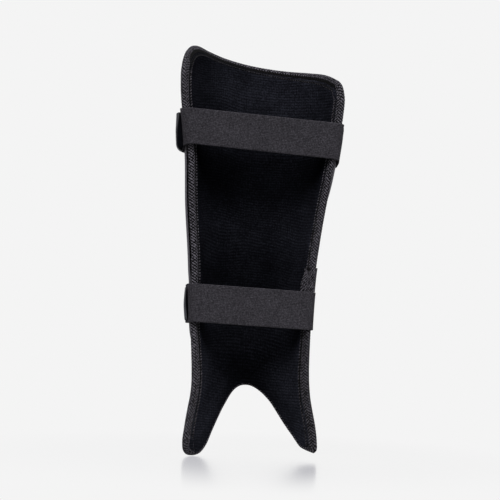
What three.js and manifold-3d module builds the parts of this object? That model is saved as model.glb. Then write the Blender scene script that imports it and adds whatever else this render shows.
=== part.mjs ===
// A field-hockey shin guard: a moulded half-pipe shell on a bound foam pad, held by two elastic straps.
// Millimetres, +Z up the shin. The leg side faces -Y, the shell faces +Y, and the prong tips stand on z = 0.
import * as THREE from 'three';
import Module from 'manifold-3d';
import { mergeVertices } from 'three/addons/utils/BufferGeometryUtils.js';

// ---- Driving dimensions ----
const DEGREE = Math.PI / 180;
const GAP = 0.3;                    // clearance between pieces that touch

// Half-pipe form, as heights and the matching value there
const LEFT_EDGE = [[0, -51.9], [25, -49.1], [55, -45], [105, -47.3], [150, -48], [200, -52], [245, -54.6],
  [278, -60.6], [300, -62.4], [330, -61.4]];
const RIGHT_EDGE = [[0, 50.5], [20, 48.6], [50, 42.6], [80, 41.1], [140, 43], [190, 48.8], [240, 56.6],
  [275, 62], [295, 63.1], [330, 59]];
const DEPTH = [[0, 40], [80, 42], [180, 47], [265, 50], [300, 54.5], [330, 64]];
const LEFT_WRAP = [[0, 80], [90, 82], [150, 88], [240, 87], [290, 79], [330, 78]];      // degrees
const RIGHT_WRAP = [[0, 80], [90, 80], [180, 80], [235, 87], [290, 79], [330, 78]];     // degrees

// Pad outline: how far across (-1 left edge, 1 right edge) and the height there
const TOP_LINE = [[-1, 307], [-0.94, 318], [-0.84, 326], [-0.68, 330], [-0.5, 328], [-0.25, 323.8],
  [0, 319.8], [0.3, 315.8], [0.55, 312.8], [0.72, 309.8], [0.86, 305], [0.95, 300.5], [1, 290]];
const BOTTOM_LINE = [[-1, 11], [-0.92, 3.5], [-0.82, 0], [-0.7, -0.5], [-0.58, 5.5], [-0.48, 19.5],
  [-0.36, 36.5], [-0.24, 49.3], [-0.12, 55.5], [0, 57.3], [0.12, 56.2], [0.26, 51], [0.4, 42.2],
  [0.5, 31.5], [0.6, 21.4], [0.68, 15.2], [0.77, 9], [0.85, 6.2], [0.92, 5.3], [1, 5]];
const FLARE_REACH = 12;             // how far the ankle arch turns forward
const FLARE_HEIGHT = 27;            // height over which it turns

// Layers, from the leg outwards
const LINER_THICKNESS = 0.8;
const FOAM_THICKNESS = 4.2;
const COVER_THICKNESS = 0.6;
const PAD_HALF = (LINER_THICKNESS + FOAM_THICKNESS + COVER_THICKNESS + 2 * GAP) / 2;
const BINDING_THICKNESS = 0.7;
const BINDING_LAP = 6;
const BINDING_SLACK = 0.6;          // clearance from the pad to the tape
const BINDING_ROLL = 2;             // how far the rolled edge stands past the pad
const SHELL_THICKNESS = 2;
const SHELL_STAND = 0.5;            // clearance from the pad's cover to the shell
const SHELL_EDGE_LIFT = 1.2;        // extra clearance where the shell passes over the binding
const RIDGE_HEIGHT = 2.2;
const RIDGE_WIDTH = 0.11;

// Shell outline and vents
const SHELL_TOP = [[-1, 268], [-0.85, 290], [-0.6, 304], [0, 302], [0.6, 292], [0.85, 278], [1, 256]];
const SHELL_BOTTOM = [[-1, 96], [-0.8, 78], [-0.5, 70], [0, 84], [0.5, 70], [0.8, 78], [1, 96]];
const SHELL_LEFT = [[60, 0.8], [110, 0.9], [150, 0.945], [245, 0.945], [275, 0.9], [310, 0.8]];
const SHELL_RIGHT = [[60, 0.8], [110, 0.84], [195, 0.86], [215, 0.93], [245, 0.945], [275, 0.9], [310, 0.8]];
const VENT_LENGTH = 20;
const VENT_WIDTH = 4;
const VENT_HEIGHTS = [158, 180, 202, 224];
const VENT_ACROSS = 0.3;            // place across the shell, each side of the ridge

// Straps
const STRAP_WIDTH = 30;
const STRAP_THICKNESS = 1.2;
const PATCH_THICKNESS = 1;          // hook and loop pads
const CORNER_ROUND = 3.3;           // the strap's stand-off behind the bound edge
const CORNER_CUT = 50 * DEGREE;     // where the strap folds round a bound edge
const TAB_LENGTH = 30;
const HOOK_START = 12;
const LOOP_START = 10;
const LOOP_END = 46;
const GRIP_START = 3;
const GRIP_END = 42;
const GRIP_EDGE = 1.2;              // thickness at its long edges
const GRIP_CURL = 5;                // how far its free end lifts
const WALL_INSETS = [1.5, 3, 4.5, 6, 8];      // where the straps are divided behind the shell's edge
const ANCHOR_LENGTH = 40;
const PLATE_START = 22;
const PLATE_THICKNESS = 1;
const RIVET_INSET = 31;
const RIVET_SPREAD = 8;
const RIVET_HEAD_RADIUS = 4;
const RIVET_HEAD_HEIGHT = 1.4;
const RIVET_SHANK_RADIUS = 1.6;
// Each strap's height at the left and right edge, its slope down along the side walls, and its grip's
// shift and the extra thickness along its middle
const STRAPS = {
  upper: { left: 262.4, right: 255.1, drop: 0.2, gripShift: -1, crown: 1.6 },
  lower: { left: 120.8, right: 117.4, drop: 0.04, gripShift: 0, crown: 0.5 },
};

// Grid fineness
const HALF_COLUMNS = [0.06, 0.12, 0.18, 0.25, 0.33, 0.41, 0.5, 0.6, 0.7, 0.79, 0.865, 0.92, 0.965, 1];
const PAD_COLUMNS = [...HALF_COLUMNS.map((across) => -across).reverse(), 0, ...HALF_COLUMNS];
const PAD_ROWS = [0, 0.02, 0.045, 0.08, 0.13, 0.19, 0.26, 0.34, 0.42, 0.5, 0.58, 0.66, 0.74, 0.81, 0.87,
  0.92, 0.96, 1];

// ---- Materials ----
const matte = (color, roughness) => new THREE.MeshStandardMaterial({ color, roughness, metalness: 0 });
const MATERIALS = {
  shell: matte(0x17171a, 0.42),
  cover: matte(0x1b1b1e, 0.9),
  foam: matte(0x2b2b2e, 0.95),
  liner: matte(0x101116, 0.98),
  binding: matte(0x343336, 0.88),
  webbing: matte(0x38363a, 0.85),
  hook: matte(0x151517, 0.8),
  rubber: matte(0x131316, 0.5),
  rivet: new THREE.MeshStandardMaterial({ color: 0x2a2a2d, roughness: 0.35, metalness: 0.6 }),
};

// ---- Curves ----
// A smooth curve through hand-set points [place, value], read at any place.
function through(points) {
  const slope = points.map((point, i) => {
    const before = points[Math.max(i - 1, 0)];
    const after = points[Math.min(i + 1, points.length - 1)];
    return (after[1] - before[1]) / (after[0] - before[0]);
  });
  return (place) => {
    const last = points.length - 2;
    let i = 0;
    while (i < last && place > points[i + 1][0]) i += 1;
    const span = points[i + 1][0] - points[i][0];
    const t = THREE.MathUtils.clamp((place - points[i][0]) / span, 0, 1);
    const rise = points[i + 1][1] - points[i][1];
    const bend = slope[i] * span * (1 - t) - slope[i + 1] * span * t - rise * (1 - 2 * t);
    return points[i][1] + rise * t + t * (1 - t) * bend;
  };
}

const leftEdge = through(LEFT_EDGE);
const rightEdge = through(RIGHT_EDGE);
const depth = through(DEPTH);
const wraps = [through(LEFT_WRAP), through(RIGHT_WRAP)];
const topLine = through(TOP_LINE);
const bottomLine = through(BOTTOM_LINE);
const shellTop = through(SHELL_TOP);
const shellBottom = through(SHELL_BOTTOM);
const shellSides = [through(SHELL_LEFT), through(SHELL_RIGHT)];

// ---- The half-pipe surface through the middle of the pad ----
// across runs from -1 at the left edge to 1 at the right edge, and height is z.
function middle(across, height) {
  const halfAngle = wraps[across < 0 ? 0 : 1](height) * DEGREE;
  const angle = across * halfAngle;
  const centre = (leftEdge(height) + rightEdge(height)) / 2;
  const halfWidth = (rightEdge(height) - leftEdge(height)) / 2;
  const x = centre + halfWidth * Math.sin(angle) / Math.sin(halfAngle);
  const bowl = (Math.cos(angle) - Math.cos(halfAngle)) / (1 - Math.cos(halfAngle));
  const turn = THREE.MathUtils.clamp(1 - (height - bottomLine(across)) / FLARE_HEIGHT, 0, 1.1);
  const flare = FLARE_REACH * turn ** 2.2 * Math.max(Math.cos(across * 1.35), 0) ** 2;
  return new THREE.Vector3(x, depth(height) * bowl + flare, height);
}

function slopes(across, height) {
  const step = 0.004;
  const rise = 0.3;
  const alongAcross = middle(across + step, height).sub(middle(across - step, height)).divideScalar(2 * step);
  const alongHeight = middle(across, height + rise).sub(middle(across, height - rise)).divideScalar(2 * rise);
  return { alongAcross, alongHeight };
}

function outward(across, height) {
  const { alongAcross, alongHeight } = slopes(across, height);
  return alongHeight.cross(alongAcross).normalize();
}

function offset(across, height, distance) {
  return middle(across, height).addScaledVector(outward(across, height), distance);
}

// ---- Solids ----
function solid(positions, triangles) {
  const geometry = new THREE.BufferGeometry();
  geometry.setAttribute('position', new THREE.Float32BufferAttribute(positions.flatMap((p) => p.toArray()), 3));
  geometry.setIndex(triangles.flat());
  return facingOut(geometry);
}

function facingOut(geometry) {
  const corners = geometry.getAttribute('position');
  const index = geometry.getIndex();
  const [a, b, c] = [new THREE.Vector3(), new THREE.Vector3(), new THREE.Vector3()];
  let volume = 0;
  for (let i = 0; i < index.count; i += 3) {
    a.fromBufferAttribute(corners, index.getX(i));
    b.fromBufferAttribute(corners, index.getX(i + 1));
    c.fromBufferAttribute(corners, index.getX(i + 2));
    volume += a.dot(b.cross(c));
  }
  if (volume < 0) index.array.reverse();
  return geometry;
}

// A closed sheet between two grids of the same size: grid(i, j, side) with side 0 or 1.
function sheet(columns, rows, grid) {
  const positions = [];
  for (const side of [0, 1]) {
    for (let j = 0; j < rows; j += 1) {
      for (let i = 0; i < columns; i += 1) positions.push(grid(i, j, side));
    }
  }
  const at = (i, j, side) => side * columns * rows + j * columns + i;
  const triangles = [];
  const quad = (a, b, c, d) => triangles.push([a, b, c], [a, c, d]);
  for (let j = 0; j < rows - 1; j += 1) {
    for (let i = 0; i < columns - 1; i += 1) {
      quad(at(i, j, 0), at(i + 1, j, 0), at(i + 1, j + 1, 0), at(i, j + 1, 0));
      quad(at(i, j, 1), at(i, j + 1, 1), at(i + 1, j + 1, 1), at(i + 1, j, 1));
    }
  }
  for (let i = 0; i < columns - 1; i += 1) {
    quad(at(i, 0, 0), at(i, 0, 1), at(i + 1, 0, 1), at(i + 1, 0, 0));
    quad(at(i, rows - 1, 0), at(i + 1, rows - 1, 0), at(i + 1, rows - 1, 1), at(i, rows - 1, 1));
  }
  for (let j = 0; j < rows - 1; j += 1) {
    quad(at(0, j, 0), at(0, j + 1, 0), at(0, j + 1, 1), at(0, j, 1));
    quad(at(columns - 1, j, 0), at(columns - 1, j, 1), at(columns - 1, j + 1, 1), at(columns - 1, j + 1, 0));
  }
  return solid(positions, triangles);
}

const evenly = (count, from, to) => Array.from({ length: count }, (_, i) => from + (to - from) * i / (count - 1));

// ---- Booleans ----
const wasm = await Module();
wasm.setup();

function toManifold(geometry) {
  const bare = geometry.clone();
  bare.deleteAttribute('normal');
  bare.deleteAttribute('uv');
  const merged = mergeVertices(bare, 1e-4);
  return new wasm.Manifold(new wasm.Mesh({
    numProp: 3,
    vertProperties: Float32Array.from(merged.getAttribute('position').array),
    triVerts: Uint32Array.from(merged.getIndex().array),
  }));
}

function fromManifold(body) {
  const mesh = body.getMesh();
  const geometry = new THREE.BufferGeometry();
  geometry.setAttribute('position', new THREE.BufferAttribute(mesh.vertProperties, 3));
  geometry.setIndex(new THREE.BufferAttribute(mesh.triVerts, 1));
  return geometry;
}

function cutFrom(geometry, cutters) {
  return fromManifold(cutters.reduce((body, cutter) => body.subtract(toManifold(cutter)), toManifold(geometry)));
}

// Stands a geometry made along its own +Z on the shell, its +Y along the shin.
function standOnShell(geometry, across, height, distance) {
  const up = outward(across, height);
  const along = new THREE.Vector3(0, 0, 1).addScaledVector(up, -up.z).normalize();
  const side = along.clone().cross(up);
  const place = new THREE.Matrix4().makeBasis(side, along, up);
  place.setPosition(offset(across, height, distance));
  return geometry.clone().applyMatrix4(place);
}

// ---- Pad layers ----
function padHeight(across, share) {
  return THREE.MathUtils.lerp(bottomLine(across), topLine(across), share);
}

function padLayer(from, to) {
  return sheet(PAD_COLUMNS.length, PAD_ROWS.length, (i, j, side) => {
    const across = PAD_COLUMNS[i];
    return offset(across, padHeight(across, PAD_ROWS[j]), side ? to : from);
  });
}

// ---- Shell ----
function shellOffset(across, height) {
  const nearEdge = THREE.MathUtils.smoothstep(Math.abs(across), 0.62, 0.8);
  const ridge = RIDGE_HEIGHT * Math.exp(-((across / RIDGE_WIDTH) ** 2)) * THREE.MathUtils.smoothstep(height, 70, 120);
  return PAD_HALF + SHELL_STAND + SHELL_EDGE_LIFT * nearEdge + ridge;
}

const shellOuter = (across, height) => shellOffset(across, height) + SHELL_THICKNESS;

function slotGeometry(length, width, height) {
  const shape = new THREE.Shape();
  const half = (length - width) / 2;
  shape.absarc(0, half, width / 2, 0, Math.PI);
  shape.absarc(0, -half, width / 2, Math.PI, 2 * Math.PI);
  return new THREE.ExtrudeGeometry(shape, { depth: height, bevelEnabled: false, curveSegments: 5 })
    .translate(0, 0, -height / 2);
}

function outerShell(rivetHoles) {
  const columns = evenly(27, -1, 1);
  const rows = evenly(19, 0, 1);
  const body = sheet(columns.length, rows.length, (i, j, side) => {
    const height = THREE.MathUtils.lerp(shellBottom(columns[i]), shellTop(columns[i]), rows[j]);
    const across = columns[i] * shellSides[columns[i] < 0 ? 0 : 1](height);
    return offset(across, height, shellOffset(across, height) + side * SHELL_THICKNESS);
  });
  const vent = slotGeometry(VENT_LENGTH, VENT_WIDTH, 10);
  const vents = VENT_HEIGHTS.flatMap((height) => [-VENT_ACROSS, VENT_ACROSS].map(
    (across) => standOnShell(vent, across, height, PAD_HALF + SHELL_STAND + SHELL_THICKNESS / 2)));
  return cutFrom(body, [...vents, ...rivetHoles]);
}

// ---- Edge binding: a folded tape whose section runs round the pad's outline ----
function outline() {
  const lastColumn = PAD_COLUMNS.length - 1;
  const lastRow = PAD_ROWS.length - 1;
  const nodes = [];
  for (let i = 0; i < lastColumn; i += 1) nodes.push([PAD_COLUMNS[i], bottomLine(PAD_COLUMNS[i])]);
  for (let j = 0; j < lastRow; j += 1) nodes.push([1, padHeight(1, PAD_ROWS[j])]);
  for (let i = lastColumn; i > 0; i -= 1) nodes.push([PAD_COLUMNS[i], topLine(PAD_COLUMNS[i])]);
  for (let j = lastRow; j > 0; j -= 1) nodes.push([-1, padHeight(-1, PAD_ROWS[j])]);
  return nodes;
}

// A point near the outline: past is the distance beyond the pad's edge, distance the offset from its middle.
function nearOutline(node, away, past, distance) {
  const { alongAcross, alongHeight } = slopes(...node);
  const [a, b, mixed] = [alongAcross.lengthSq(), alongHeight.lengthSq(), alongAcross.dot(alongHeight)];
  const [pullA, pullB] = [away.dot(alongAcross), away.dot(alongHeight)];
  const inside = Math.min(past, 0) / (a * b - mixed ** 2);
  const across = node[0] + inside * (pullA * b - pullB * mixed);
  const height = node[1] + inside * (pullB * a - pullA * mixed);
  return offset(across, height, distance).addScaledVector(away, Math.max(past, 0));
}

function outlineAway(nodes) {
  const count = nodes.length;
  return nodes.map((node, k) => {
    const before = middle(...nodes[(k + count - 1) % count]);
    const after = middle(...nodes[(k + 1) % count]);
    return outward(...node).cross(after.sub(before)).normalize();
  });
}

// The tape's closed section, as [distance past the pad's edge, distance from its middle]
function tapeSection(inner, outer) {
  const [lap, roll] = [-BINDING_LAP, BINDING_ROLL];
  return [[lap, outer], [0, outer], [roll, roll], [roll, -roll], [0, -outer], [lap, -outer],
    [lap, -inner], [GAP, -inner], [GAP, inner], [lap, inner]];
}

function edgeBinding() {
  const nodes = outline();
  const away = outlineAway(nodes);
  const section = tapeSection(PAD_HALF + BINDING_SLACK, PAD_HALF + BINDING_SLACK + BINDING_THICKNESS);
  const ring = nodes.map((node, k) => section.map(([past, distance]) => nearOutline(node, away[k], past, distance)));
  const size = section.length;
  const triangles = [];
  for (let k = 0; k < ring.length; k += 1) {
    const next = (k + 1) % ring.length;
    for (let p = 0; p < size; p += 1) {
      const q = (p + 1) % size;
      triangles.push([k * size + p, next * size + p, next * size + q], [k * size + p, next * size + q, k * size + q]);
    }
  }
  return solid(ring.flat(), triangles);
}

// The tape's end, folded over the start of the same tape on the right-hand edge
const FOLD_FROM = 134.6;
const FOLD_TO = 152;
const FOLD_THICKNESS = 0.8;
const FOLD_FRONT_LAP = 1;           // kept short of the shell's edge

function bindingFold() {
  const heights = evenly(4, FOLD_FROM, FOLD_TO);
  const inside = PAD_HALF + BINDING_SLACK + BINDING_THICKNESS + GAP;
  const reach = BINDING_ROLL + GAP;
  const section = (grow) => [[-FOLD_FRONT_LAP, inside + grow], [0, inside + grow], [reach + grow, BINDING_ROLL + grow],
    [reach + grow, -BINDING_ROLL - grow], [0, -inside - grow], [-BINDING_LAP - 1, -inside - grow]];
  const sides = [section(0), section(FOLD_THICKNESS)];
  const away = (height) => {
    const along = middle(1, height + 1).sub(middle(1, height - 1));
    return outward(1, height).cross(along).normalize();
  };
  return sheet(sides[0].length, heights.length, (i, j, side) => {
    const node = [1, heights[j]];
    return nearOutline(node, away(heights[j]), ...sides[side][i]);
  });
}

// ---- Straps ----
// A strap's own line on one side wall: inset is the distance forward from the bound edge.
function wallPoint(side, inset, height, distance) {
  const pace = slopes(side, height).alongAcross.length();
  return offset(side * (1 - inset / pace), height, distance);
}

// How far out the strap's inner face sits: on the binding at the edge, on the shell where the shell begins.
function seat(side, inset, height) {
  const pace = slopes(side, height).alongAcross.length();
  const shellStart = (1 - shellSides[side < 0 ? 0 : 1](height)) * pace;
  const onBinding = PAD_HALF + BINDING_SLACK + BINDING_THICKNESS + GAP;
  const onShell = shellOuter(side * (1 - inset / pace), height) + GAP;
  return THREE.MathUtils.lerp(onBinding, onShell, THREE.MathUtils.smoothstep(inset, shellStart - 7, shellStart - 1));
}

function cornerPoint(side, height, angle, distance) {
  const edge = middle(side, height);
  const out = outward(side, height);
  const back = new THREE.Vector3(0, -1, 0).addScaledVector(out, out.y).normalize();
  const reachOut = seat(side, 0, height) + distance;
  const reachBack = CORNER_ROUND + distance - STRAP_THICKNESS / 2;
  return edge.addScaledVector(out, reachOut * Math.cos(angle)).addScaledVector(back, reachBack * Math.sin(angle));
}

function strapHeight(strap, side, across) {
  const centre = side < 0 ? strap.left : strap.right;
  const lean = (strap.right - strap.left) / (rightEdge(strap.right) - leftEdge(strap.left));
  return centre + across * STRAP_WIDTH / 2 * Math.cos(Math.atan(lean));
}

// Extra stand-off where the tab rides over the hook and loop pads
function padRise(inset) {
  const pads = 2 * (PATCH_THICKNESS + GAP);
  return pads * THREE.MathUtils.smoothstep(inset, 2, LOOP_START - 0.5);
}

const WIDTHS = [-1, 0, 1];

function strapBand(strap) {
  const bends = evenly(4, CORNER_CUT, 90 * DEGREE);
  const clear = 1.5 * DEGREE;
  return sheet(WIDTHS.length, 2 * bends.length, (i, j, face) => {
    const side = j < bends.length ? -1 : 1;
    const k = side < 0 ? j : 2 * bends.length - 1 - j;
    const angle = k === 0 ? bends[0] + clear : bends[k];
    return cornerPoint(side, strapHeight(strap, side, WIDTHS[i]), angle, face * STRAP_THICKNESS);
  });
}

function wrapStations(length) {
  const bends = evenly(4, CORNER_CUT - 1.5 * DEGREE, 0).map((angle) => ({ angle, inset: 0 }));
  const walls = [...WALL_INSETS, ...evenly(7, 10, length)].map((inset) => ({ angle: 0, inset }));
  return [...bends, ...walls];
}

function strapWrap(strap, side, length, rise) {
  const stations = wrapStations(length);
  return sheet(WIDTHS.length, stations.length, (i, j, face) => {
    const { angle, inset } = stations[j];
    const drop = strap.drop * inset;
    const height = strapHeight(strap, side, WIDTHS[i]) - drop;
    if (inset === 0) return cornerPoint(side, height, angle, face * STRAP_THICKNESS);
    const distance = seat(side, inset, height) + rise(inset) + face * STRAP_THICKNESS;
    return wallPoint(side, inset, height, distance);
  });
}

// A pad lying on a side wall, between two insets, from one height above the strap's seat to another
function wallPad(strap, side, from, to, widthShare, bottom, top, steps = 6) {
  const insets = evenly(steps, from, to);
  return sheet(WIDTHS.length, insets.length, (i, j, face) => {
    const height = strapHeight(strap, side, WIDTHS[i] * widthShare) - strap.drop * insets[j];
    const stand = face ? top(insets[j]) : bottom(insets[j]);
    return wallPoint(side, insets[j], height, seat(side, insets[j], height) + stand);
  });
}

const loopPatch = (strap) => wallPad(strap, -1, LOOP_START, LOOP_END, 0.9, () => 0, () => PATCH_THICKNESS, 8);

function hookPatch(strap) {
  const bottom = PATCH_THICKNESS + GAP;
  return wallPad(strap, -1, HOOK_START, TAB_LENGTH - 1, 0.88, () => bottom, () => bottom + PATCH_THICKNESS - GAP / 2);
}

// A crowned rubber grip bonded over the tab, with a free end that lifts past it
function pullGrip(strap) {
  const insets = [...WALL_INSETS.filter((inset) => inset >= GRIP_START), ...evenly(10, 10, GRIP_END)];
  const widths = evenly(7, -1, 1);
  return sheet(widths.length, insets.length, (i, j, face) => {
    const inset = insets[j];
    const height = strapHeight(strap, -1, widths[i] * 0.86) - strap.drop * inset + strap.gripShift;
    const free = Math.max(inset - TAB_LENGTH, 0) / (GRIP_END - TAB_LENGTH);
    const under = GAP + padRise(inset) + STRAP_THICKNESS + GRIP_CURL * free ** 2;
    const thickness = GRIP_EDGE + strap.crown * (1 - widths[i] ** 2) * (1 - free * 0.6);
    return wallPoint(-1, inset, height, seat(-1, inset, height) + under + face * thickness);
  });
}

function anchorPlate(strap, holes) {
  const bottom = GAP + STRAP_THICKNESS;
  const plate = wallPad(strap, 1, PLATE_START, ANCHOR_LENGTH - 1, 0.8, () => bottom, () => bottom + PLATE_THICKNESS);
  return cutFrom(plate, holes);
}

function rivetPlace(strap, end) {
  const height = strapHeight(strap, 1, end * RIVET_SPREAD / (STRAP_WIDTH / 2)) - strap.drop * RIVET_INSET;
  const pace = slopes(1, height).alongAcross.length();
  const across = 1 - RIVET_INSET / pace;
  return { across, height, base: shellOffset(across, height) };
}

function rivet(strap, end) {
  const { across, height, base } = rivetPlace(strap, end);
  const underHead = SHELL_THICKNESS + 3 * GAP + STRAP_THICKNESS + PLATE_THICKNESS;
  const dome = new THREE.EllipseCurve(0, underHead + 0.3, RIVET_HEAD_RADIUS, RIVET_HEAD_HEIGHT - 0.3, 0, Math.PI / 2);
  const profile = [new THREE.Vector2(0, 0), new THREE.Vector2(RIVET_SHANK_RADIUS, 0),
    new THREE.Vector2(RIVET_SHANK_RADIUS, underHead), new THREE.Vector2(RIVET_HEAD_RADIUS, underHead),
    ...dome.getPoints(5)];
  profile[profile.length - 1].x = 0;
  const body = new THREE.LatheGeometry(profile, 14).rotateX(Math.PI / 2);
  return facingOut(mergeVertices(stripped(standOnShell(body, across, height, base))));
}

function stripped(geometry) {
  geometry.deleteAttribute('normal');
  geometry.deleteAttribute('uv');
  return geometry;
}

function rivetHole(strap, end) {
  const { across, height, base } = rivetPlace(strap, end);
  const hole = new THREE.CylinderGeometry(RIVET_SHANK_RADIUS + GAP, RIVET_SHANK_RADIUS + GAP, 12, 14);
  return standOnShell(hole.rotateX(Math.PI / 2), across, height, base + 4);
}

// ---- Assembly ----
const guard = new THREE.Group();

function place(name, geometry, material) {
  const mesh = new THREE.Mesh(geometry, material);
  mesh.name = name;
  guard.add(mesh);
}

const RIVET_ENDS = { top: 1, bottom: -1 };
const holesOf = (strap) => Object.values(RIVET_ENDS).map((end) => rivetHole(strap, end));

const linerFace = -PAD_HALF;
const foamFace = linerFace + LINER_THICKNESS + GAP;
const coverFace = foamFace + FOAM_THICKNESS + GAP;
place('liner', padLayer(linerFace, linerFace + LINER_THICKNESS), MATERIALS.liner);
place('foam_core', padLayer(foamFace, foamFace + FOAM_THICKNESS), MATERIALS.foam);
place('front_cover', padLayer(coverFace, coverFace + COVER_THICKNESS), MATERIALS.cover);
place('outer_shell', outerShell(Object.values(STRAPS).flatMap(holesOf)), MATERIALS.shell);
place('edge_binding', edgeBinding(), MATERIALS.binding);
place('binding_fold', bindingFold(), MATERIALS.binding);

for (const [name, strap] of Object.entries(STRAPS)) {
  const anchor = strapWrap(strap, 1, ANCHOR_LENGTH, () => 0);
  place(`${name}_strap_anchor`, cutFrom(anchor, holesOf(strap)), MATERIALS.webbing);
  place(`${name}_strap_band`, strapBand(strap), MATERIALS.webbing);
  place(`${name}_strap_tab`, strapWrap(strap, -1, TAB_LENGTH, padRise), MATERIALS.webbing);
  place(`${name}_hook_patch`, hookPatch(strap), MATERIALS.hook);
  place(`${name}_loop_patch`, loopPatch(strap), MATERIALS.hook);
  place(`${name}_pull_grip`, pullGrip(strap), MATERIALS.rubber);
  place(`${name}_anchor_plate`, anchorPlate(strap, holesOf(strap)), MATERIALS.rubber);
  for (const [end, sign] of Object.entries(RIVET_ENDS)) {
    place(`${name}_rivet_${end}`, rivet(strap, sign), MATERIALS.rivet);
  }
}

// The origin is the middle of the guard's bounding box, at the height of the lower prong tip.
const extent = new THREE.Box3().setFromObject(guard, true);
const middleOf = extent.getCenter(new THREE.Vector3());
guard.position.set(-middleOf.x, -middleOf.y, -extent.min.z);

export default guard;
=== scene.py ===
"""The looks of a field-hockey shin guard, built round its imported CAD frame.

The pad, binding and straps are drawn in millimetres in the drawing's own frame, and `placed` turns a drawn
point into metres in the row frame.
"""

import math

import bmesh
import bpy
import numpy as np
from mathutils import Matrix, Vector
from mathutils.geometry import delaunay_2d_cdt


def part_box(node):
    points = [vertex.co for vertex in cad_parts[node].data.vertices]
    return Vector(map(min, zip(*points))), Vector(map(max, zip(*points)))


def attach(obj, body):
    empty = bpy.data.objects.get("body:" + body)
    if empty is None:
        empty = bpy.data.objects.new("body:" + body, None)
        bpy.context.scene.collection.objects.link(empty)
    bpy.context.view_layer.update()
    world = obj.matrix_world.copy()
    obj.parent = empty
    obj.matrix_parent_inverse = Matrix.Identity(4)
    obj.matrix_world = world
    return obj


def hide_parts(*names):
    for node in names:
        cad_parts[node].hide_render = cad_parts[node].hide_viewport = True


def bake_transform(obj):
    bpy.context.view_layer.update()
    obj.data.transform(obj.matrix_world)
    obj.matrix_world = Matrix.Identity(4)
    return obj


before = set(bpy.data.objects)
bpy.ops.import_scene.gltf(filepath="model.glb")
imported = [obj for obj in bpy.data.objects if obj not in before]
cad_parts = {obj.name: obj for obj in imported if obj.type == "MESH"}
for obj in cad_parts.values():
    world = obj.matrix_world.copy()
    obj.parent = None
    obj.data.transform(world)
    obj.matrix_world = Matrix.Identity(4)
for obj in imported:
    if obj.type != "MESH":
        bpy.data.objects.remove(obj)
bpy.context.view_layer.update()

MM = 0.001
LEFT, RIGHT = -1, 1

# ---- The half-pipe form, as heights and the matching value there ----
LEFT_EDGE = [[0, -51.9], [25, -49.1], [55, -45], [105, -47.3], [150, -48], [200, -52], [245, -54.6],
             [278, -60.6], [300, -62.4], [330, -61.4]]
RIGHT_EDGE = [[0, 50.5], [20, 48.6], [50, 42.6], [80, 41.1], [140, 43], [190, 48.8], [240, 56.6],
              [275, 62], [295, 63.1], [330, 59]]
DEPTH = [[0, 40], [80, 42], [180, 47], [265, 50], [300, 54.5], [330, 64]]
LEFT_WRAP = [[0, 80], [90, 82], [150, 88], [240, 87], [290, 79], [330, 78]]
RIGHT_WRAP = [[0, 80], [90, 80], [180, 80], [235, 87], [290, 79], [330, 78]]

# ---- The pad's outline: how far across, from -1 to 1, and the height there ----
TOP_LINE = [[-1, 307], [-0.94, 318], [-0.84, 326], [-0.68, 330], [-0.5, 328], [-0.25, 323.8], [0, 319.8],
            [0.3, 315.8], [0.55, 312.8], [0.72, 309.8], [0.86, 305], [0.95, 300.5], [1, 290]]
BOTTOM_LINE = [[-1, 11], [-0.92, 3.5], [-0.82, 0], [-0.7, -0.5], [-0.58, 5.5], [-0.48, 19.5], [-0.36, 36.5],
               [-0.24, 49.3], [-0.12, 55.5], [0, 57.3], [0.12, 56.2], [0.26, 51], [0.4, 42.2], [0.5, 31.5],
               [0.6, 21.4], [0.68, 15.2], [0.77, 9], [0.85, 6.2], [0.92, 5.3], [1, 5]]
ARCH_END = {LEFT: 0.7, RIGHT: 0.78}  # how far down each prong the arch's unsqueezed edge reaches
ARCH_FADE = 0.22
FLARE_REACH = 12  # how far forward the arch's edge turns, and from how high up
FLARE_HEIGHT = 27
FLARE_LIMIT = 1.1
FLARE_CURVE = 2.2
FLARE_SPREAD = 1.35

# ---- Layers ----
GAP = 0.3
LINER_THICKNESS = 0.8
FOAM_THICKNESS = 4.2
COVER_THICKNESS = 0.6
PAD_HALF = (LINER_THICKNESS + FOAM_THICKNESS + COVER_THICKNESS + 2 * GAP) / 2
PINCH = 0.45  # share of the pad's thickness left at its edge
PINCH_REACH = 8
BINDING_SLACK = 0.6
BINDING_THICKNESS = 0.7
SHELL_THICKNESS = 2
SHELL_STAND = 0.5
SHELL_EDGE_LIFT = 1.2
SHELL_SPRING = 0.7  # how much further its left edge stands off between the straps
SPRING_HEIGHTS = (134, 150, 240, 254)
RIDGE_HEIGHT = 2.2
RIDGE_WIDTH = 0.11

# ---- Shell outline and vents ----
SHELL_TOP = [[-1, 268], [-0.85, 290], [-0.6, 304], [0, 302], [0.6, 292], [0.85, 278], [1, 256]]
SHELL_BOTTOM = [[-1, 96], [-0.8, 78], [-0.5, 70], [0, 84], [0.5, 70], [0.8, 78], [1, 96]]
SHELL_LEFT = [[60, 0.8], [110, 0.9], [150, 0.945], [245, 0.945], [275, 0.9], [310, 0.8]]
SHELL_RIGHT = [[60, 0.8], [110, 0.84], [195, 0.86], [215, 0.93], [245, 0.945], [275, 0.9], [310, 0.8]]
VENT_LENGTH = 20
VENT_WIDTH = 4
VENT_HEIGHTS = [158, 180, 202, 224]
VENT_ACROSS = 0.3
SHELL_EDGE = 0.8  # rounding of its cut edges, in steps from the cut to the flat
EDGE_STEPS = (0, 0.12, 0.45, 1)
SHELL_MARGIN = 0.7  # from the rounding to the grid that fills the shell's faces
SHELL_GRID = 2.1

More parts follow.
